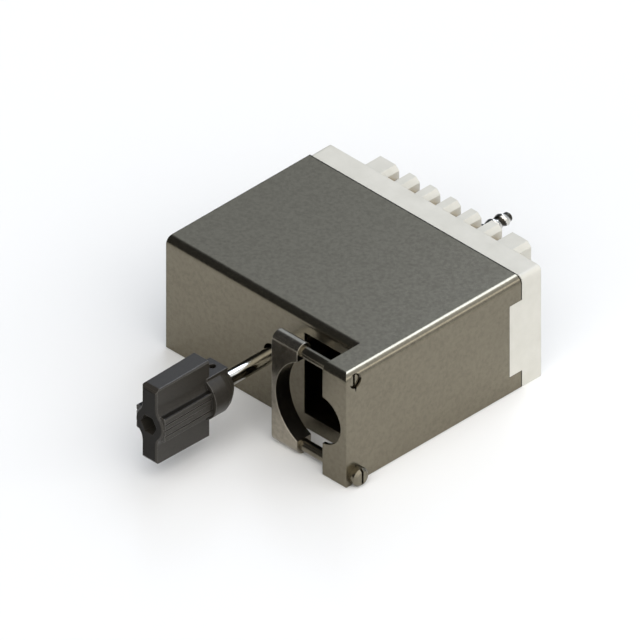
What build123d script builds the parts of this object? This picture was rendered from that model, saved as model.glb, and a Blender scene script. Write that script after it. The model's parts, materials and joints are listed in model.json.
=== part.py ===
from build123d import *
import os

os.makedirs("parts", exist_ok=True)

# Frame: X runs along the connector's length, +Y points to the mating side, +Z is up.
# The origin is the centre of the hood's flat underside.

# Hood, a folded sheet shell open at the mating side
hood_length = 65.7
hood_depth = 44.4
hood_height = 29.4
sheet = 0.8
bend_radius = 1.9
tight_bend = 0.3

# Cable outlet box at the hood's rear right corner
outlet_reach = 9.9
outlet_width = 7.3
cable_radius = 6.2
cable_offset = 0.6
window_width = 22.0
window_height = 21.5

# Insulator, moulded in one piece
rim_thickness = 5.85
rim_corner = 1.2
rim_foot = 0.3
body_depth = 10.0
body_gap = 0.1
tab_depth = 3.8
tab_height = 18.8
tab_drop = 0.8
tab_gap = 0.05
block_reach = 6.0
block_width = 47.6
block_inset = 1.3
block_bevel = 1.1

# Contacts, 38 in seven staggered rows
contact_pitch = 6.35
row_pitch = 3.175
slot_width = 2.1
slot_height = 2.4
slot_depth = 9.0
shank_width = 1.7
shank_gap = 0.05
tine_setback = 0.8
tine_thickness = 0.5
barrel_length = 6.0
barrel_wall = 0.3

# Jackscrew that pulls the connector home, with its knob
screw_radius = 1.8
screw_reach = 17.0
screw_chamfer = 0.6
screw_clearance = 0.05
wall_hole_radius = 2.5
sleeve_wall = 1.3
sleeve_flange = 1.0
sleeve_flange_lip = 1.0
well_radius = 4.6
washer_thickness = 0.5
washer_radius = 3.6
ring_thickness = 0.6
ring_radius = 3.3
groove_depth = 0.4
groove_gap = 0.03
thrust_gap = 0.1

# Knob
knob_stand_off = 14.9
hub_radius = 5.7
hub_length = 3.0
# The hub's nose: distance past its full section, and how far the radius has dropped there
hub_nose = ((1.4, 0.5), (2.7, 1.4), (3.9, 2.4))
pin_boss_width = 5.4
pin_boss_height = 5.85
pin_boss_length = 5.5
wing_length = 16.2
wing_height = 20.3
wing_thickness = 5.0
wing_edge = 0.4
wing_draft = 0.8
wing_front_edge = 0.4
wing_end_bevel = 0.6
wing_end_bevel_length = 1.2
barrel_radius = 4.4
barrel_blend = 3.0
socket_flats = 4.3
socket_depth = 5.0
pad_reach = 4.4
pad_height = 6.1
pad_edge = 0.25
pad_setback = 0.65
grip_grooves = 3
grip_pitch = 1.5
grip_width = 0.4
grip_depth = 0.2
pin_radius = 0.85
pin_clearance = 0.02
pin_recess = 0.9
pin_setback = 3.4

# Cable clamp
saddle_width = 7.85
saddle_web = 1.2
saddle_end_radius = 2.15
saddle_start = 9.0
saddle_arc = 11.8
saddle_gap = 0.05
screw_inset = 2.3
stud_radius = 1.4
stud_recess = 0.6
thread_clearance = 0.05
head_radius = 2.25
head_height = 2.1
head_edge = 0.6
slot_cut = 0.6
slot_sink = 1.0
relief_tail = 2.9
relief_tail_width = 1.5
upper_hole_radius = 1.75

# Polarizing bushes at both ends of the mating face
key_bore_radius = 1.9
key_bore_depth = 11.0
key_bush_flats = 6.4
key_bush_reach = 4.0
key_shank_radius = 2.5
key_nut_flats = 6.2
key_nut = 2.0
key_clearance = 0.03

# Planes and axes worked out from the values above
half_length = hood_length / 2
rear = -hood_depth / 2
mouth = hood_depth / 2
flange_face = rear - outlet_reach
middle = hood_height / 2
rim_face = mouth + rim_thickness
block_face = rim_face + block_reach
body_back = mouth - body_depth
outlet_start = half_length - outlet_width
inner_right = half_length - sheet
screw_tip = block_face + screw_reach
knob_nose = rear - knob_stand_off
hub_end = knob_nose - hub_nose[-1][0] - hub_length
knob_face = hub_end - wing_length
clamp_y = flange_face + sheet + saddle_gap + saddle_end_radius
clamp_low = screw_inset
clamp_high = hood_height - screw_inset
key_x = (block_width / 2 + half_length) / 2
tab_low = middle - tab_height / 2 - tab_drop
sleeve_back = body_back - sleeve_flange
washer_back = sleeve_back - thrust_gap - washer_thickness
rear_ring = washer_back - ring_thickness
front_ring = rim_face + thrust_gap
pin_y = hub_end + pin_setback

# How far a cutting form passes beyond the face that it cuts
over = 1.0


def box_between(low, high):
    """A box from its lowest to its highest corner."""
    size = [b - a for a, b in zip(low, high)]
    centre = [(a + b) / 2 for a, b in zip(low, high)]
    return Pos(*centre) * Box(*size)


def rod_along_y(radius, start, end, x=0.0, z=middle):
    """A cylinder along Y."""
    lengthwise = Rot(-90, 0, 0) * Cylinder(radius, end - start, align=(Align.CENTER, Align.CENTER, Align.MIN))
    return Pos(x, start, z) * lengthwise


def rod_along_x(radius, start, end, y, z):
    """A cylinder along X."""
    lengthwise = Rot(0, 90, 0) * Cylinder(radius, end - start, align=(Align.CENTER, Align.CENTER, Align.MIN))
    return Pos(start, y, z) * lengthwise


def drawn_on_y(sketch, start, end, x=0.0, z=middle):
    """A sketch whose x is X and whose y is Z, carried along Y from start to end."""
    plane = Plane(origin=(x, end, z), x_dir=(1, 0, 0), z_dir=(0, -1, 0))
    return extrude(plane * sketch, amount=end - start)


def hexagon_along_y(flats, start, end, x=0.0, z=middle):
    """A hexagonal prism along Y, flats apart across its faces."""
    outline = RegularPolygon(flats / 2, 6, major_radius=False)
    return drawn_on_y(outline, start, end, x, z)


def folded_form(inset):
    """The hood's outside form, or with an inset of one sheet its inside form, with its bends."""
    half = half_length - inset
    bottom = inset
    top = hood_height - inset
    main = box_between((-half, rear + inset, bottom), (half, mouth, top))
    box = box_between((outlet_start, flange_face + inset, bottom), (half, rear + over, top))
    form = main + box
    # The top is drawn over a round former at the rear and the right. The other edges are folded tight.
    round_edges = [
        edge
        for edge in form.edges().filter_by(Axis.X) + form.edges().filter_by(Axis.Y)
        if edge.center().Y < mouth - inset
        and edge.center().Z > middle
        and abs(edge.center().X - outlet_start) > sheet
        and edge.center().X > -half + inset + sheet
    ]
    form = fillet(round_edges, bend_radius - inset)
    if inset:
        return form
    tight_edges = [
        edge
        for edge in form.edges().filter_by(Axis.X) + form.edges().filter_by(Axis.Y)
        if edge.center().Y < mouth
        and abs(edge.center().X - outlet_start) > sheet
        and (edge.center().Z < sheet or edge.center().X < -half + sheet)
    ]
    return fillet(tight_edges, tight_bend)


def corner_relief(z, toward_middle, radius):
    """The cut at a clamp screw: a round hole through the bend with a tail that points to mid-height."""
    hole = rod_along_x(radius, outlet_start, half_length + over, clamp_y, z)
    tail_outline = Polyline(
        (clamp_y - relief_tail_width / 2, z),
        (clamp_y + relief_tail_width / 2, z),
        (clamp_y, z + toward_middle * relief_tail),
        close=True,
    )
    tail = extrude(Plane.YZ.offset(inner_right - over) * make_face(tail_outline), amount=sheet + 2 * over)
    return hole + tail


def make_hood():
    shell = folded_form(0.0) - folded_form(sheet)
    # The mating side is open over the whole inside section.
    shell -= box_between(
        (-inner_right, mouth - over, sheet), (inner_right, mouth + over, hood_height - sheet)
    )
    # The outlet box has no left wall, and the rear wall ends where the box begins.
    shell -= box_between(
        (outlet_start - over, flange_face + sheet, sheet), (inner_right, rear + 2 * sheet, hood_height - sheet)
    )
    # Window in the rear wall, which lets the cable into the shell.
    shell -= box_between(
        (inner_right - window_width, rear - over, middle - window_height / 2),
        (outlet_start + over, rear + sheet + over, middle + window_height / 2),
    )
    # Half-round cable seat in the outlet box's face.
    shell -= rod_along_y(cable_radius, flange_face - over, flange_face + sheet + over, outlet_start - cable_offset)
    shell -= rod_along_y(wall_hole_radius, rear - over, rear + sheet + over)
    for side in (-1, 1):
        shell -= box_between(
            (side * half_length - over, mouth - tab_depth - tab_gap, tab_low - tab_gap),
            (side * half_length + over, mouth + over, tab_low + tab_height + tab_gap),
        )
    shell -= corner_relief(clamp_high, -1, upper_hole_radius)
    shell -= corner_relief(clamp_low, 1, stud_radius + thread_clearance)
    return shell


def contact_rows():
    """Each row's height and its contacts' places along X, from the top row down."""
    six = [contact_pitch * (i - 2.5) for i in range(6)]
    seven = [contact_pitch * (i - 3) for i in range(7)]
    outer_four = [x for x in six if abs(x) > contact_pitch]
    outer_seven = [x for x in seven if abs(x) > 1.5 * contact_pitch]
    layout = [six, seven, outer_four, outer_seven, outer_four, seven, six]
    return [(middle + row_pitch * (3 - i), places) for i, places in enumerate(layout)]


def slot_lead(x, z):
    """The bevel at one mouth edge of an open slot: a square bar turned on its corner."""
    size = block_bevel * 2**0.5
    bar = Rot(0, 45, 0) * Box(size, block_reach, size)
    return Pos(x, rim_face + block_reach / 2, z) * bar


def make_block_field(rows):
    """The raised mating field, with a slot for each contact, open at its top and bottom edge."""
    top = hood_height - block_inset
    field = box_between((-block_width / 2, rim_face - over, block_inset), (block_width / 2, block_face, top))
    rims = field.edges().filter_by(Axis.Y)
    field = chamfer(rims, block_bevel)
    for index, (z, places) in enumerate(rows):
        for x in places:
            low = z - slot_height / 2
            high = z + slot_height / 2
            if index == 0:
                high = top + over
            if index == len(rows) - 1:
                low = block_inset - over
            field -= box_between((x - slot_width / 2, rim_face, low), (x + slot_width / 2, block_face + over, high))
            if index in (0, len(rows) - 1):
                edge_z = top if index == 0 else block_inset
                for side in (-1, 1):
                    field -= slot_lead(x + side * slot_width / 2, edge_z)
    return field


def make_rim():
    """The rim's plate, round at its upper corners and nearly sharp at its foot."""
    outline = Rectangle(hood_length, hood_height)
    outline = fillet(outline.vertices().group_by(Axis.Y)[-1], rim_corner)
    outline = fillet(outline.vertices().group_by(Axis.Y)[0], rim_foot)
    return drawn_on_y(outline, mouth, rim_face)


def make_insulator(rows):
    rim = make_rim()
    inner_width = 2 * (inner_right - body_gap)
    inner_height = hood_height - 2 * (sheet + body_gap)
    body = drawn_on_y(RectangleRounded(inner_width, inner_height, bend_radius - sheet), body_back, mouth)
    insulator = rim + body + make_block_field(rows)
    for side in (-1, 1):
        near = side * (inner_right - over)
        far = side * half_length
        insulator += box_between(
            (min(near, far), mouth - tab_depth, tab_low), (max(near, far), mouth, tab_low + tab_height)
        )
    for z, places in rows:
        for x in places:
            insulator -= box_between(
                (x - slot_width / 2, block_face - slot_depth, z - slot_height / 2),
                (x + slot_width / 2, block_face + over, z + slot_height / 2),
            )
            hole = shank_width / 2 + shank_gap
            insulator -= box_between((x - hole, body_back - over, z - hole), (x + hole, block_face, z + hole))
    insulator -= rod_along_y(screw_radius + screw_clearance + sleeve_wall, body_back - over, rim_face + over)
    insulator -= rod_along_y(well_radius, rim_face, block_face + over)
    for side in (-1, 1):
        insulator -= rod_along_y(key_shank_radius + key_clearance, body_back - over, rim_face + over, side * key_x)
    return insulator


def make_contact(x, z):
    """One fork contact: two tines to the mating side, a square shank, an open crimp barrel behind."""
    slot_floor = block_face - slot_depth
    half = shank_width / 2
    shank = box_between((x - half, body_back - over, z - half), (x + half, slot_floor + over, z + half))
    contact = shank
    for side in (-1, 1):
        edge = side * half
        inner = edge - side * tine_thickness
        contact += box_between(
            (x - half, slot_floor, z + min(edge, inner)),
            (x + half, block_face - tine_setback, z + max(edge, inner)),
        )
    barrel = box_between((x - half, body_back - barrel_length, z - half), (x + half, body_back - over, z + half))
    barrel -= box_between(
        (x - half + barrel_wall, body_back - barrel_length - over, z - half + barrel_wall),
        (x + half - barrel_wall, body_back - over - barrel_wall, z + half + over),
    )
    return contact + barrel


def make_contact_row(z, places):
    return Compound(children=[make_contact(x, z) for x in places])


def make_polarizing_bush(side):
    """A keyed bush: hexagonal nose on the rim, a shank through the insulator and a blind bore for the pin."""
    x = side * key_x
    nose = hexagon_along_y(key_bush_flats, rim_face, rim_face + key_bush_reach, x)
    shank = rod_along_y(key_shank_radius, body_back - key_nut - over, rim_face, x)
    mouth_y = rim_face + key_bush_reach
    return nose + shank - rod_along_y(key_bore_radius, mouth_y - key_bore_depth, mouth_y + over, x)


def make_polarizing_nuts():
    """The nuts that hold the bushes against the insulator's back."""
    nuts = []
    for side in (-1, 1):
        nut = hexagon_along_y(key_nut_flats, body_back - key_nut, body_back, side * key_x)
        nut -= rod_along_y(key_shank_radius + key_clearance, body_back - key_nut - over, body_back + over, side * key_x)
        nuts.append(nut)
    return Compound(children=nuts)


def make_sleeve():
    """The metal sleeve that the jackscrew turns in, flanged against the insulator's back."""
    outer = screw_radius + screw_clearance + sleeve_wall
    sleeve = rod_along_y(outer, sleeve_back, rim_face)
    sleeve += rod_along_y(outer + sleeve_flange_lip, sleeve_back, body_back)
    return sleeve - rod_along_y(screw_radius + screw_clearance, sleeve_back - over, rim_face + over)


def make_jackscrew():
    """The shaft from the knob's socket to the mating tip, with a groove for each retaining ring."""
    shaft = rod_along_y(screw_radius, knob_face + socket_depth + over, screw_tip)
    shaft = chamfer(shaft.faces().sort_by(Axis.Y)[-1].edges(), screw_chamfer)
    for start in (rear_ring, front_ring):
        groove = rod_along_y(screw_radius + over, start - groove_gap, start + ring_thickness + groove_gap)
        groove -= rod_along_y(screw_radius - groove_depth, start - over, start + ring_thickness + over)
        shaft -= groove
    return shaft - pin_bore(pin_radius)


def pin_bore(radius):
    """The cross hole through the boss, the hub and the shaft."""
    return Pos(0, pin_y, middle) * Cylinder(radius, 2 * pin_boss_height + over)


def make_retaining_rings():
    """Two open rings that snap into the shaft's grooves on either side of the sleeve."""
    rings = []
    for start in (rear_ring, front_ring):
        end = start + ring_thickness
        bore = screw_radius - groove_depth + groove_gap
        ring = rod_along_y(ring_radius, start, end) - rod_along_y(bore, start - over, end + over)
        mouth_width = bore * 0.8
        ring -= box_between((-mouth_width, start - over, middle - 2 * ring_radius), (mouth_width, end + over, middle))
        rings.append(ring)
    return Compound(children=rings)


def make_washer():
    washer = rod_along_y(washer_radius, washer_back, washer_back + washer_thickness)
    return washer - rod_along_y(screw_radius + screw_clearance, washer_back - over, washer_back + over)


def make_wing():
    """The knob's wing and barrel in one drafted form, bevelled at the front, with a grip pad on each side."""
    outline = Rectangle(wing_thickness, wing_height) + Circle(barrel_radius)
    inner = [v for v in outline.vertices() if abs(v.Y) < barrel_radius]
    outline = fillet(inner, barrel_blend)
    outline = chamfer([v for v in outline.vertices() if abs(v.Y) > wing_height / 2 - wing_edge], wing_edge)
    plane = Plane(origin=(0, hub_end, middle), x_dir=(1, 0, 0), z_dir=(0, -1, 0))
    wing = extrude(plane * outline, amount=wing_length, taper=wing_draft)
    front = wing.faces().sort_by(Axis.Y)[0]
    ends = [edge for edge in front.edges().filter_by(Axis.X)]
    wing = chamfer(ends, wing_end_bevel, wing_end_bevel_length, reference=front)
    front = wing.faces().sort_by(Axis.Y)[0]
    wing = chamfer(front.edges(), wing_front_edge)
    pad = drawn_on_y(Rectangle(2 * pad_reach, pad_height), knob_face + pad_setback, hub_end)
    pad = chamfer(pad.edges().filter_by(Axis.Y), pad_edge)
    for index in range(grip_grooves):
        z = middle + grip_pitch * (index - (grip_grooves - 1) / 2)
        for side in (-1, 1):
            near = side * (pad_reach - grip_depth)
            far = side * (pad_reach + over)
            pad -= box_between(
                (min(near, far), knob_face, z - grip_width / 2),
                (max(near, far), hub_end + over, z + grip_width / 2),
            )
    return wing + pad


def make_knob():
    """A wing knob on a round hub with a tapered nose, with a key socket in its front."""
    profile = Polyline(
        (0, hub_end - over),
        (hub_radius, hub_end - over),
        (hub_radius, hub_end + hub_length),
        *[(hub_radius - drop, hub_end + hub_length + reach) for reach, drop in hub_nose],
        (0, knob_nose),
        close=True,
    )
    hub = revolve(make_face(profile), Axis.Y)
    knob = make_wing() + Pos(0, 0, middle) * hub
    # A flat-topped boss on the hub gives the cross pin's hole a level mouth.
    knob += box_between(
        (-pin_boss_width / 2, hub_end - over, middle),
        (pin_boss_width / 2, hub_end + pin_boss_length, middle + pin_boss_height),
    )
    knob -= rod_along_y(screw_radius, knob_face + socket_depth + over, knob_nose + over)
    knob -= hexagon_along_y(socket_flats, knob_face - over, knob_face + socket_depth)
    return knob - pin_bore(pin_radius)


def make_knob_pin():
    length = 2 * (hub_radius - pin_recess)
    return Pos(0, pin_y, middle) * Cylinder(pin_radius - pin_clearance, length)


def make_saddle():
    """The clamp's loose jaw: a bar with half-round ends about its screws, hollowed to an arc."""
    side_view = SlotCenterToCenter(clamp_high - clamp_low, 2 * saddle_end_radius, rotation=90)
    plane = Plane.YZ.offset(saddle_start)
    bar = extrude(plane * Pos(clamp_y, middle) * side_view, amount=saddle_width)
    arc_centre = saddle_start + saddle_web + saddle_arc
    bar -= rod_along_y(saddle_arc, flange_face, rear, arc_centre)
    for z in (clamp_low, clamp_high):
        bar -= rod_along_x(
            stud_radius + thread_clearance, saddle_start - over, saddle_start + saddle_width + over, clamp_y, z
        )
    return bar


def make_upper_stud():
    """The headless upper screw, fixed in the hood's corner, with a driver slot in its end."""
    end = half_length - stud_recess
    stud = rod_along_x(stud_radius, saddle_start, end, clamp_y, clamp_high)
    return stud - box_between(
        (end - slot_sink, clamp_y - slot_cut / 2, clamp_high - 2 * stud_radius),
        (end + over, clamp_y + slot_cut / 2, clamp_high + 2 * stud_radius),
    )


def make_lower_screw():
    """The lower screw with its pan head on the outside of the hood."""
    shaft = rod_along_x(stud_radius, saddle_start, half_length, clamp_y, clamp_low)
    head = rod_along_x(head_radius, half_length, half_length + head_height, clamp_y, clamp_low)
    head = chamfer(head.faces().sort_by(Axis.X)[-1].edges(), head_edge)
    head -= box_between(
        (half_length + head_height - slot_sink, clamp_y - slot_cut / 2, clamp_low - 2 * head_radius),
        (half_length + head_height + over, clamp_y + slot_cut / 2, clamp_low + 2 * head_radius),
    )
    return shaft + head


rows = contact_rows()
nodes = {
    "hood_shell": make_hood(),
    "insulator": make_insulator(rows),
    "polarizing_bush_left": make_polarizing_bush(-1),
    "polarizing_bush_right": make_polarizing_bush(1),
    "polarizing_nuts": make_polarizing_nuts(),
    "jackscrew_sleeve": make_sleeve(),
    "jackscrew_shaft": make_jackscrew(),
    "jackscrew_knob": make_knob(),
    "knob_pin": make_knob_pin(),
    "retaining_rings": make_retaining_rings(),
    "thrust_washer": make_washer(),
    "clamp_saddle": make_saddle(),
    "upper_clamp_stud": make_upper_stud(),
    "lower_clamp_screw": make_lower_screw(),
}
for number, (z, places) in enumerate(rows, start=1):
    nodes[f"contact_row_{number}"] = make_contact_row(z, places)

for name, shape in nodes.items():
    export_step(shape, f"parts/{name}.step")
    print(name, round(shape.volume, 1))
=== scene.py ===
# Finishes, screw thread, shortened bushes and studio for the rack and panel plug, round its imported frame.
# Everything is in metres in the part's own frame: +Y is the mating side, +Z is up, the floor is z = 0.
import bpy
import json
import math
import numpy as np
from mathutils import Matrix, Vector


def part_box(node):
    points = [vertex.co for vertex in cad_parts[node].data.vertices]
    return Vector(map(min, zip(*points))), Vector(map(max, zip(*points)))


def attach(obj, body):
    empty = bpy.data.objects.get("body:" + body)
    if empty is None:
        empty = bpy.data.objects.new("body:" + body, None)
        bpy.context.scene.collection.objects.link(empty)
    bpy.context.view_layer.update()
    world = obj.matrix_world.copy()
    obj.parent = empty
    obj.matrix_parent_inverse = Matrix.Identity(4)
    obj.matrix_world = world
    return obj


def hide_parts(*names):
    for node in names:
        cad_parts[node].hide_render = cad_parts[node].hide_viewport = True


mm = 0.001
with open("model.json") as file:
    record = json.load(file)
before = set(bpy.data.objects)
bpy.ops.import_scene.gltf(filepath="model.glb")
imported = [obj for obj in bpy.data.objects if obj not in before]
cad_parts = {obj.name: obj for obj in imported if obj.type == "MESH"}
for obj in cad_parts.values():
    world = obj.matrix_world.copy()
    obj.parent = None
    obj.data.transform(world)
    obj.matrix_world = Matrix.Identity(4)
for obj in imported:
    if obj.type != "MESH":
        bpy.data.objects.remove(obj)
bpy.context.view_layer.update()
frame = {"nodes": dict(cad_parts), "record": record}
nodes = frame["nodes"]
print("frame loaded:", len(nodes), "nodes")


# colour and node helpers

def hexColour(text):
    # sRGB hex to the linear values that shaders take, with an alpha of 1
    parts = [int(text[i:i + 2], 16) / 255 for i in (1, 3, 5)]
    return (*[c / 12.92 if c <= 0.04045 else ((c + 0.055) / 1.055) ** 2.4 for c in parts], 1.0)


def addNode(tree, kind, inputs=None, **settings):
    # one node: settings are its properties, inputs are values or the sockets that feed it
    node = tree.nodes.new(kind)
    for key, value in settings.items():
        setattr(node, key, value)
    for key, value in (inputs or {}).items():
        if isinstance(value, bpy.types.NodeSocket):
            tree.links.new(value, node.inputs[key])
        else:
            node.inputs[key].default_value = value
    return node


def mathNode(tree, operation, *terms):
    # arithmetic on values or sockets
    return addNode(tree, "ShaderNodeMath", dict(enumerate(terms)), operation=operation).outputs["Value"]


def scaled(tree, colour, factor):
    # a colour times a factor
    inputs = {0: colour, "Scale": factor}
    return addNode(tree, "ShaderNodeVectorMath", inputs, operation="SCALE").outputs["Vector"]


def dotProduct(tree, first, second):
    inputs = {0: first, 1: second}
    return addNode(tree, "ShaderNodeVectorMath", inputs, operation="DOT_PRODUCT").outputs["Value"]


def mapped(tree, source, taken, given, **settings):
    # carries the source from the range taken to the range given, and holds it at their ends
    inputs = {"Value": source, "From Min": taken[0], "From Max": taken[1]}
    inputs.update({"To Min": given[0], "To Max": given[1]})
    return addNode(tree, "ShaderNodeMapRange", inputs, **settings).outputs["Result"]


def rampColour(tree, source, stops):
    # a colour ramp from (place, hex) stops
    ramp = addNode(tree, "ShaderNodeValToRGB", {"Fac": source})
    stops = list(stops)
    elements = ramp.color_ramp.elements
    while len(elements) < len(stops):
        elements.new(0.5)
    for element, (place, colour) in zip(elements, stops):
        element.position = place
        element.color = hexColour(colour)
    return ramp.outputs["Color"]


def startMaterial(name):
    material = bpy.data.materials.new(name)
    material.use_nodes = True
    tree = material.node_tree
    shader = tree.nodes["Principled BSDF"]
    place = addNode(tree, "ShaderNodeTexCoord").outputs["Object"]
    return material, tree, shader, place


def splitXYZ(tree, vector):
    return addNode(tree, "ShaderNodeSeparateXYZ", {"Vector": vector}).outputs


def noiseAt(tree, place, grainMm, detail=3.0, roughness=0.55, stretch=(1, 1, 1)):
    # noise whose features are grainMm across; stretch squeezes it along an axis
    squeezed = addNode(tree, "ShaderNodeMapping", {"Vector": place, "Scale": stretch}).outputs["Vector"]
    inputs = {"Vector": squeezed, "Scale": 1 / (grainMm * mm), "Detail": detail, "Roughness": roughness}
    return addNode(tree, "ShaderNodeTexNoise", inputs).outputs["Fac"]


def roundedNormal(tree, edgeMm):
    # the normal of the surface as if its edges were rounded to edgeMm
    return addNode(tree, "ShaderNodeBevel", {"Radius": edgeMm * mm}, samples=6).outputs["Normal"]


def bumpFrom(tree, shader, height, strength, distanceMm, edgeMm):
    # a fine relief on top of softly shaded edges
    inputs = {"Height": height, "Strength": strength, "Distance": distanceMm * mm}
    inputs["Normal"] = roundedNormal(tree, edgeMm)
    tree.links.new(addNode(tree, "ShaderNodeBump", inputs).outputs["Normal"], shader.inputs["Normal"])


def roughnessFrom(tree, shader, source, low, high):
    tree.links.new(mapped(tree, source, (0.0, 1.0), (low, high)), shader.inputs["Roughness"])


# materials, each named for what the real one is

platedSheet = {
    "dark": "#716b5d", "light": "#7b7566", "stops": (0.35, 0.6), "roughLow": 0.2, "roughHigh": 0.27,
    "mottleMm": 0.9, "mottleDetail": 5.0, "mottleRoughness": 0.65, "grainMm": 0.2, "bumpMm": 0.004,
    # seamMm and the seam tone: width and tone of the painted shade along the sheet's edge by the rim
    "relief": 0.5, "edgeMm": 0.14, "seamMm": 0.42, "seamShadeTone": 0.22,
}


def makePlatedSheet():
    # nickel plated steel sheet, rolled then dull plated: grey with a warm cast and a fine orange-peel mottle
    material, tree, shader, place = startMaterial("nickelPlatedSheet")
    s = platedSheet
    mottle = noiseAt(tree, place, s["mottleMm"], s["mottleDetail"], s["mottleRoughness"])
    colour = rampColour(tree, mottle, zip(s["stops"], (s["dark"], s["light"])))
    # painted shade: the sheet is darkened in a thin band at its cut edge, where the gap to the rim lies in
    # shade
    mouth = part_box("hood_shell")[1][1]
    band = (mouth - s["seamMm"] * mm, mouth - s["seamMm"] * mm / 2)
    gapShade = mapped(tree, splitXYZ(tree, place)["Y"], band, (1.0, s["seamShadeTone"]))
    tree.links.new(scaled(tree, colour, gapShade), shader.inputs["Base Color"])
    shader.inputs["Metallic"].default_value = 1.0
    roughnessFrom(tree, shader, mottle, s["roughLow"], s["roughHigh"])
    bumpFrom(tree, shader, noiseAt(tree, place, s["grainMm"], 2.0), s["relief"], s["bumpMm"], s["edgeMm"])
    return material


insulatorMould = {
    "dark": "#c6c4ba", "light": "#d0cec5", "stops": (0.3, 0.7), "refraction": 1.52,
    "roughLow": 0.4, "roughHigh": 0.5, "cloudMm": 6.0, "cloudDetail": 4.0, "cloudRoughness": 0.6,
    "grainMm": 0.12, "bumpMm": 0.006, "relief": 0.4, "edgeMm": 0.15,
}


def makeInsulator():
    # mineral-filled thermoset, moulded: warm white with a faint cloud from the filler and a matt die surface
    material, tree, shader, place = startMaterial("mouldedThermoset")
    s = insulatorMould
    cloud = noiseAt(tree, place, s["cloudMm"], s["cloudDetail"], s["cloudRoughness"])
    colour = rampColour(tree, cloud, zip(s["stops"], (s["dark"], s["light"])))
    tree.links.new(colour, shader.inputs["Base Color"])
    shader.inputs["IOR"].default_value = s["refraction"]
    roughnessFrom(tree, shader, cloud, s["roughLow"], s["roughHigh"])
    bumpFrom(tree, shader, noiseAt(tree, place, s["grainMm"], 2.0), s["relief"], s["bumpMm"], s["edgeMm"])
    return material


knobMould = {
    "dark": "#26231f", "light": "#322f29", "stops": (0.3, 0.75), "refraction": 1.53, "specular": 0.3,
    "roughLow": 0.3, "roughHigh": 0.42, "grainMm": 0.35, "grainDetail": 4.0, "grainRoughness": 0.7,
    "grainStretch": (1, 0.45, 1), "bumpMm": 0.015, "relief": 0.5, "edgeMm": 0.22,
    # painted shade on the front face, which faces away from the light: how deep the band reaches and how dark
    # it is
    "faceMm": 0.05, "faceShadeTone": 0.33,
    # creases, where painted shade darkens the colour: reach, the openness over which they fade, tone at the
    # closed end
    "creaseMm": 0.9, "creaseFade": (0.45, 0.85), "creaseShadeTone": 0.45,
    # painted edge highlight: how well both normals agree where it starts and where it is full, tone where it
    # is full
    "edgeHighlightFade": (0.99, 0.88), "edgeHighlightTone": 2.9,
    # the grip pads' edges, where a line of painted shadow lies: height of the knob's axis, of the edges from
    # it, and where the pads lie along Y
    "axisMm": 14.7, "padMm": 3.05, "padLineMm": 0.08, "padShadowTone": 0.36, "padMiddleMm": -51.9, "padHalfMm": 7.4,
}


def makeKnobNylon():
    # glass-filled nylon, moulded black: a dull sheen broken by short fibre marks
    material, tree, shader, place = startMaterial("glassFilledNylon")
    s = knobMould
    fibre = noiseAt(tree, place, s["grainMm"], s["grainDetail"], s["grainRoughness"], s["grainStretch"])
    colour = rampColour(tree, fibre, zip(s["stops"], (s["dark"], s["light"])))
    parts = splitXYZ(tree, place)
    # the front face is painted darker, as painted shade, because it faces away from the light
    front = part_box("jackscrew_knob")[0][1]
    frontFaceShade = mapped(
        tree, parts["Y"], (front + s["faceMm"] * mm, front + 2 * s["faceMm"] * mm), (s["faceShadeTone"], 1.0)
    )
    # painted shade, with a little dust, darkens its creases
    reach = {"Distance": s["creaseMm"] * mm}
    openness = addNode(tree, "ShaderNodeAmbientOcclusion", reach, samples=8).outputs["AO"]
    creaseShade = mapped(tree, openness, s["creaseFade"], (s["creaseShadeTone"], 1.0))
    # a sharp dark line of painted shadow lies along the grip pads' edges
    offAxis = mathNode(tree, "ABSOLUTE", mathNode(tree, "SUBTRACT", parts["Z"], s["axisMm"] * mm))
    atEdge = mathNode(tree, "COMPARE", offAxis, s["padMm"] * mm, s["padLineMm"] * mm)
    alongPad = mathNode(tree, "COMPARE", parts["Y"], s["padMiddleMm"] * mm, s["padHalfMm"] * mm)
    padShadowLine = mapped(tree, mathNode(tree, "MULTIPLY", atEdge, alongPad), (0.0, 1.0), (1.0, s["padShadowTone"]))
    # painted highlight: its edges, which catch the light, are painted lighter; they are where the rounded
    # normal leaves the true one
    trueNormal = addNode(tree, "ShaderNodeNewGeometry").outputs["Normal"]
    agreement = dotProduct(tree, roundedNormal(tree, s["edgeMm"]), trueNormal)
    edgeHighlight = mapped(tree, agreement, s["edgeHighlightFade"], (1.0, s["edgeHighlightTone"]))
    tone = frontFaceShade
    for factor in (creaseShade, padShadowLine, edgeHighlight):
        tone = mathNode(tree, "MULTIPLY", tone, factor)
    tree.links.new(scaled(tree, colour, tone), shader.inputs["Base Color"])
    tree.links.new(mathNode(tree, "MULTIPLY", tone, s["specular"]), shader.inputs["Specular IOR Level"])
    shader.inputs["IOR"].default_value = s["refraction"]
    roughnessFrom(tree, shader, fibre, s["roughLow"], s["roughHigh"])
    bumpFrom(tree, shader, fibre, s["relief"], s["bumpMm"], s["edgeMm"])
    return material


turnedMetal = {
    "stops": (0.3, 0.7), "driftMm": 2.5, "ringDetail": 2.0, "ringRoughness": 0.5, "ringStretch": 0.02,
    "bumpMm": 0.004, "relief": 0.25, "edgeMm": 0.12,
}


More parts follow.
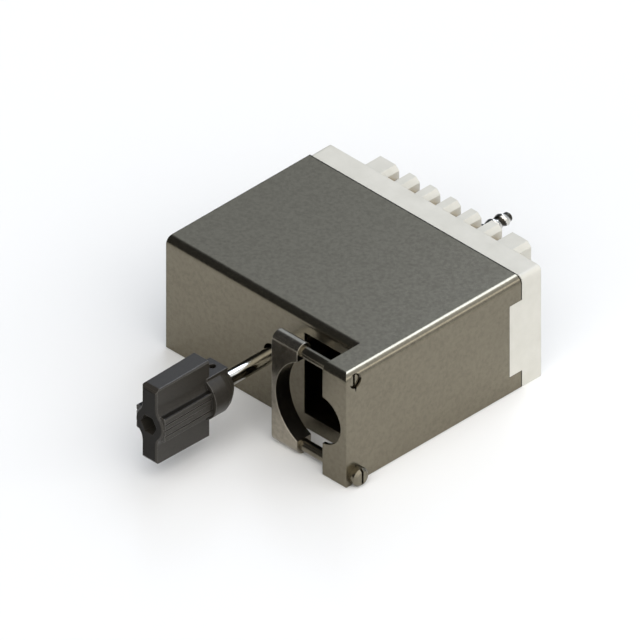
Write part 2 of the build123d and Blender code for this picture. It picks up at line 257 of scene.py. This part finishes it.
def makeTurnedMetal(name, dark, light, roughLow, roughHigh, ringMm, axis):
    # a turned metal part: fine tool rings across its axis and a little drift in tone
    material, tree, shader, place = startMaterial(name)
    s = turnedMetal
    drift = noiseAt(tree, place, s["driftMm"])
    tree.links.new(rampColour(tree, drift, zip(s["stops"], (dark, light))), shader.inputs["Base Color"])
    shader.inputs["Metallic"].default_value = 1.0
    roughnessFrom(tree, shader, drift, roughLow, roughHigh)
    stretch = tuple(1 if letter == axis else s["ringStretch"] for letter in "XYZ")
    rings = noiseAt(tree, place, ringMm, s["ringDetail"], s["ringRoughness"], stretch)
    bumpFrom(tree, shader, rings, s["relief"], s["bumpMm"], s["edgeMm"])
    return material


stampedMetal = {
    "stops": (0.3, 0.7), "mottleGrains": 6, "mottleDetail": 4.0, "mottleRoughness": 0.6, "grainDetail": 2.0,
    "relief": 0.35, "edgeMm": 0.2,
}


def makeStampedMetal(name, dark, light, roughLow, roughHigh, grainMm, bumpMm):
    # a stamped, plated or cast metal part: a soft mottle in tone and a fine grain in relief
    material, tree, shader, place = startMaterial(name)
    s = stampedMetal
    mottle = noiseAt(tree, place, grainMm * s["mottleGrains"], s["mottleDetail"], s["mottleRoughness"])
    tree.links.new(rampColour(tree, mottle, zip(s["stops"], (dark, light))), shader.inputs["Base Color"])
    shader.inputs["Metallic"].default_value = 1.0
    roughnessFrom(tree, shader, mottle, roughLow, roughHigh)
    bumpFrom(tree, shader, noiseAt(tree, place, grainMm, s["grainDetail"]), s["relief"], bumpMm, s["edgeMm"])
    return material


finishes = {
    "plated_sheet": makePlatedSheet(),
    "moulded_insulator": makeInsulator(),
    "knob_nylon": makeKnobNylon(),
    # bright steel of the jackscrew, nearly a mirror
    "screw_steel": makeTurnedMetal("turnedStainlessSteel", "#bebcb5", "#d6d4ce", 0.08, 0.13, 0.12, "Y"),
    # plated steel of the bushes and nuts, satin
    "pin_steel": makeTurnedMetal("turnedPlatedSteel", "#a9a79f", "#c6c4bb", 0.2, 0.32, 0.15, "Y"),
    # the sleeve's plating, which lets a little of the brass through
    "sleeve_brass": makeTurnedMetal("turnedNickelPlatedBrass", "#b3a986", "#cfc59f", 0.2, 0.32, 0.15, "Y"),
    # warm gold of the contacts
    "gold_contact": makeStampedMetal("goldFlashedBronze", "#c79a45", "#e0bb67", 0.2, 0.34, 0.1, 0.004),
    # oiled dark steel of the rings
    "spring_steel": makeStampedMetal("stampedSpringSteel", "#4a4844", "#625f59", 0.25, 0.4, 0.12, 0.005),
    # the saddle's casting, plated like the hood and brighter
    "saddle_zinc": makeStampedMetal("platedZincCasting", "#8c867a", "#a8a193", 0.18, 0.28, 0.2, 0.006),
}
# the clamp's screws are plated like the hood, and the knob's cross pin gets the dark spring steel as painted
# shade, so that its hole reads dark
clampSteel = makeTurnedMetal("turnedPlatedClampSteel", "#6f6a5d", "#807a6b", 0.16, 0.26, 0.12, "X")
ownFinishes = {
    "upper_clamp_stud": clampSteel, "lower_clamp_screw": clampSteel, "knob_pin": finishes["spring_steel"],
}
slotOfNode = {entry["node"]: entry["material_slot"] for entry in frame["record"]["subparts"]}
for nodeName, nodeObject in nodes.items():
    nodeObject.data.materials.clear()
    nodeObject.data.materials.append(ownFinishes.get(nodeName, finishes[slotOfNode[nodeName]]))
print("finishes on all nodes")


# new pieces, worked out as grids

def gridMesh(name, points):
    # points is rows x columns x 3; the columns close round, and a fan to a pole closes each end
    rows, columns = points.shape[:2]
    verts = points.reshape(-1, 3)
    first, last = len(verts), len(verts) + 1
    row = np.arange(rows - 1)[:, None] * columns
    ring = np.arange(columns)
    after = (ring + 1) % columns
    quads = np.stack([row + ring, row + after, row + columns + after, row + columns + ring], -1)
    faces = quads.reshape(-1, 4).tolist()
    base = (rows - 1) * columns
    faces += np.stack([np.full(columns, first), after, ring], -1).tolist()
    faces += np.stack([np.full(columns, last), base + ring, base + after], -1).tolist()
    mesh = bpy.data.meshes.new(name)
    mesh.from_pydata(np.vstack([verts, points[0].mean(0), points[-1].mean(0)]).tolist(), [], faces)
    mesh.validate()
    piece = bpy.data.objects.new(name, mesh)
    bpy.context.scene.collection.objects.link(piece)
    return piece


def smoothByAngle(piece, degrees=35):
    piece.data.polygons.foreach_set("use_smooth", [True] * len(piece.data.polygons))
    bpy.context.view_layer.objects.active = piece
    for other in bpy.context.selected_objects:
        other.select_set(False)
    piece.select_set(True)
    bpy.ops.object.shade_smooth_by_angle(angle=math.radians(degrees))
    piece.select_set(False)


jackscrew = {
    "threadPitch": 2.75, "threadDepth": 0.6, "threadLength": 14.0, "valleySlope": 2.25, "rootFlat": 0.05,
    # where on the pitch the thread starts, and the share of the pitch on each side of a root that is painted
    # dark as shade
    "lead": 0.736, "rootShare": 0.22,
    "chamfer": 0.3, "taper": 2.2, "taperRadius": 1.3, "taperDepthShare": 0.5,
    "columns": 72, "rowsPerTurn": 14, "plainRows": 40,
}


def makeJackscrew():
    # A screw as a surface of revolution whose radius sinks by a triangle wave of (length - turn x pitch) in
    # its threaded stretch. The wave fades in over one pitch, and the end tapers to a pilot and is chamfered.
    s = jackscrew
    low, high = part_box("jackscrew_shaft")
    radius = (high[0] - low[0]) / 2
    axisZ = (high[2] + low[2]) / 2
    start, end = low[1], high[1]
    pitch, taper = s["threadPitch"] * mm, s["taper"] * mm
    threadStart = end - s["threadLength"] * mm
    plain = np.linspace(start, threadStart, s["plainRows"])
    threaded = np.arange(threadStart, end, pitch / s["rowsPerTurn"])
    along = np.concatenate([plain, threaded[1:], [end]])
    turn = np.linspace(0, 2 * math.pi, s["columns"], endpoint=False)
    y, a = np.meshgrid(along, turn, indexing="ij")
    fromRoot = np.abs(((y - threadStart) / pitch - a / (2 * math.pi) + s["lead"]) % 1.0 - 0.5)
    valley = 1 - np.clip(fromRoot * s["valleySlope"] - s["rootFlat"], 0, 1)
    fade = np.clip((y - threadStart) / pitch, 0, 1)
    slim = np.clip((y - (end - taper)) / taper, 0, 1)
    outside = radius + (s["taperRadius"] * mm - radius) * slim
    r = outside - s["threadDepth"] * mm * valley * fade * (1 - s["taperDepthShare"] * slim)
    r = np.minimum(r, outside - np.clip(y - (end - s["chamfer"] * mm), 0, None))
    piece = gridMesh("jackscrewTurned", np.stack([r * np.sin(a), y, axisZ + r * np.cos(a)], -1))
    piece.data.materials.append(finishes["screw_steel"])
    # painted shade darkens the roots of the thread
    rootShade = makeStampedMetal("paintedThreadRootShade", "#2a2824", "#3e3b35", 0.3, 0.4, 0.12, 0.004)
    piece.data.materials.append(rootShade)
    shadedRoots = ((fromRoot < s["rootShare"]) & (y > threadStart + pitch))[:-1]
    slots = np.zeros(len(piece.data.polygons), dtype=np.int32)
    slots[:shadedRoots.size] = shadedRoots.ravel()
    piece.data.polygons.foreach_set("material_index", slots)
    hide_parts("jackscrew_shaft")
    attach(piece, "jackscrew")
    smoothByAngle(piece)


polarizingBush = {
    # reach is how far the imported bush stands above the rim, and pilot is how far this one does
    "reach": 4.0, "pilot": 1.95, "collar": 0.8, "flats": 6.4, "shank": 2.5, "bore": 1.9, "depth": 11.0,
    "collarBevel": 0.2, "collarRound": 1.02, "mouthBevel": 0.3, "lip": 0.1, "columns": 96,
}


def makeBush(nodeName, pieceName):
    # A bush turned round its own axis, radius by radius along Y. In its collar the radius follows a hexagon:
    # half the flats over the cosine of the angle from the nearest flat.
    s = polarizingBush
    low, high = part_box(nodeName)
    axisX, axisZ = (low[0] + high[0]) / 2, (low[2] + high[2]) / 2
    rim = high[1] - s["reach"] * mm
    floor = high[1] - s["depth"] * mm
    mouth = rim + s["pilot"] * mm
    collar = rim + s["collar"] * mm
    turn = np.linspace(0, 2 * math.pi, s["columns"], endpoint=False)
    hexagon = s["flats"] / 2 / np.cos((turn + math.pi / 6) % (math.pi / 3) - math.pi / 6)
    bevelled = np.minimum(hexagon, s["flats"] / 2 * s["collarRound"])
    # (place along Y, radius in millimetres): shank, collar, nose, mouth, bore
    stations = [
        (low[1], s["shank"]), (rim, s["shank"]), (rim, hexagon), (collar - s["collarBevel"] * mm, hexagon),
        (collar, bevelled), (collar, s["shank"]), (mouth - s["mouthBevel"] * mm, s["shank"]),
        (mouth, s["shank"] - s["mouthBevel"]), (mouth, s["bore"] + s["lip"]),
        (mouth - s["lip"] * mm, s["bore"]), (floor, s["bore"]),
    ]
    rings = []
    for y, radii in stations:
        r = radii * mm * np.ones_like(turn)
        along = np.full_like(turn, y)
        rings.append(np.stack([axisX + r * np.sin(turn), along, axisZ + r * np.cos(turn)], -1))
    piece = gridMesh(pieceName, np.array(rings))
    piece.data.materials.append(finishes["pin_steel"])
    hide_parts(nodeName)
    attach(piece, "plug_body")
    smoothByAngle(piece)


makeJackscrew()
makeBush("polarizing_bush_left", "bushTurnedLeft")
makeBush("polarizing_bush_right", "bushTurnedRight")
print("turned pieces made")


# studio

studio = {
    "floorHalf": 3.0, "floorColour": "#f6f6f5", "floorRoughness": 0.25,
    # the dome's colour by height: (height of the direction, hex); below the horizon it is pale as the floor
    "dome": [
        (-0.01, "#dcdcdc"), (0.0, "#a1a5ab"), (0.12, "#a6abb2"), (0.45, "#aab5c3"), (0.7, "#c4ccd8"),
        (1.0, "#f0f2f5"),
    ],
    "domeStrength": 1.4,
    # dark screens, which leave a dark band in bright metal: direction, cosines at their soft edge, light kept
    "screens": [
        ((-0.577, 0.0, 0.816), (0.85, 0.93), 0.15),
        ((-0.577, -0.72, 0.38), (0.85, 0.93), 0.15),
        ((-0.85, -0.35, 0.35), (0.35, 0.95), 0.2),
    ],
    # soft lamps far off: direction, narrowness, hex, brightness
    "lamps": [
        ((0.80, -0.05, 0.60), 4, "#fff3e2", 1.08),
        ((0.02, -0.85, 0.48), 3, "#fffaf2", 1.6),
        ((-0.15, 0.58, 0.80), 24, "#f4f7ff", 1.2),
        ((0.66, 0.58, 0.47), 160, "#fffaf2", 3.0),
    ],
    # the softbox that draws the highlights: direction, distance, side, power and colour
    "keyDirection": (-0.2, 0.58, 0.79), "keyAway": 0.55, "keySize": 0.22, "keyWatts": 1.08,
    "keyColour": "#dbe8ff",
}
camera = {
    "azimuth": 45.0, "elevation": 35.264, "pixelsPerMm": 4.582, "imagePixels": 640, "away": 1.0,
    "clipStart": 0.01, "clipEnd": 10,
    # the point of the part that lies at the middle of the picture
    "aimMm": (-1.545, -5.779, 14.7),
}
aim = Vector(camera["aimMm"]) * mm


def placeFacing(made, back, away):
    # puts a lamp or camera at a distance from the aim, looking back at it along its own -Z
    made.location = aim + back * away
    made.rotation_mode = "QUATERNION"
    made.rotation_quaternion = back.to_track_quat("Z", "Y")
    bpy.context.scene.collection.objects.link(made)


def makeFloor():
    # a pale lacquered table top, with a faint reflection of what stands on it
    half = studio["floorHalf"]
    mesh = bpy.data.meshes.new("studioFloor")
    corners = [(-half, -half, 0), (half, -half, 0), (half, half, 0), (-half, half, 0)]
    mesh.from_pydata(corners, [], [(0, 1, 2, 3)])
    floor = bpy.data.objects.new("studioFloor", mesh)
    bpy.context.scene.collection.objects.link(floor)
    material, tree, shader, place = startMaterial("paintedStudioFloor")
    shader.inputs["Base Color"].default_value = hexColour(studio["floorColour"])
    shader.inputs["Roughness"].default_value = studio["floorRoughness"]
    floor.data.materials.append(material)


def makeWorld():
    # a pale dome with broad lamps far off and dark screens in front of it
    world = bpy.data.worlds.new("studioDome")
    bpy.context.scene.world = world
    world.use_nodes = True
    tree = world.node_tree
    direction = addNode(tree, "ShaderNodeTexCoord").outputs["Generated"]
    height = mapped(tree, splitXYZ(tree, direction)["Z"], (-1.0, 1.0), (0.0, 1.0))
    dome = rampColour(tree, height, [((place + 1) / 2, colour) for place, colour in studio["dome"]])
    glow = scaled(tree, dome, studio["domeStrength"])
    for target, narrowness, colour, brightness in studio["lamps"]:
        facing = mathNode(tree, "MAXIMUM", dotProduct(tree, direction, Vector(target).normalized()), 0.0)
        level = mathNode(tree, "MULTIPLY", mathNode(tree, "POWER", facing, narrowness), brightness)
        tint = scaled(tree, hexColour(colour)[:3], level)
        glow = addNode(tree, "ShaderNodeVectorMath", {0: glow, 1: tint}, operation="ADD").outputs["Vector"]
    for target, softEdge, lightKept in studio["screens"]:
        facing = dotProduct(tree, direction, Vector(target).normalized())
        kept = mapped(tree, facing, softEdge, (1.0, lightKept), interpolation_type="SMOOTHSTEP")
        glow = scaled(tree, glow, kept)
    tree.links.new(glow, tree.nodes["Background"].inputs["Color"])


def makeSoftbox():
    data = bpy.data.lights.new("keySoftbox", "AREA")
    data.shape = "SQUARE"
    data.size = studio["keySize"]
    data.energy = studio["keyWatts"]
    data.color = hexColour(studio["keyColour"])[:3]
    light = bpy.data.objects.new("keySoftbox", data)
    placeFacing(light, Vector(studio["keyDirection"]).normalized(), studio["keyAway"])
    # it draws the highlights only: the dome and its lamps light the matt surfaces
    light.visible_diffuse = False


def makeCamera():
    data = bpy.data.cameras.new("productCamera")
    data.type = "ORTHO"
    data.ortho_scale = camera["imagePixels"] / camera["pixelsPerMm"] * mm
    data.clip_start, data.clip_end = camera["clipStart"], camera["clipEnd"]
    a, e = math.radians(camera["azimuth"]), math.radians(camera["elevation"])
    back = Vector((math.sin(a) * math.cos(e), -math.cos(a) * math.cos(e), math.sin(e)))
    lens = bpy.data.objects.new("productCamera", data)
    placeFacing(lens, back, camera["away"])
    bpy.context.scene.camera = lens


makeFloor()
makeWorld()
makeCamera()
makeSoftbox()
bpy.context.scene.view_settings.view_transform = "Standard"
print("studio ready")
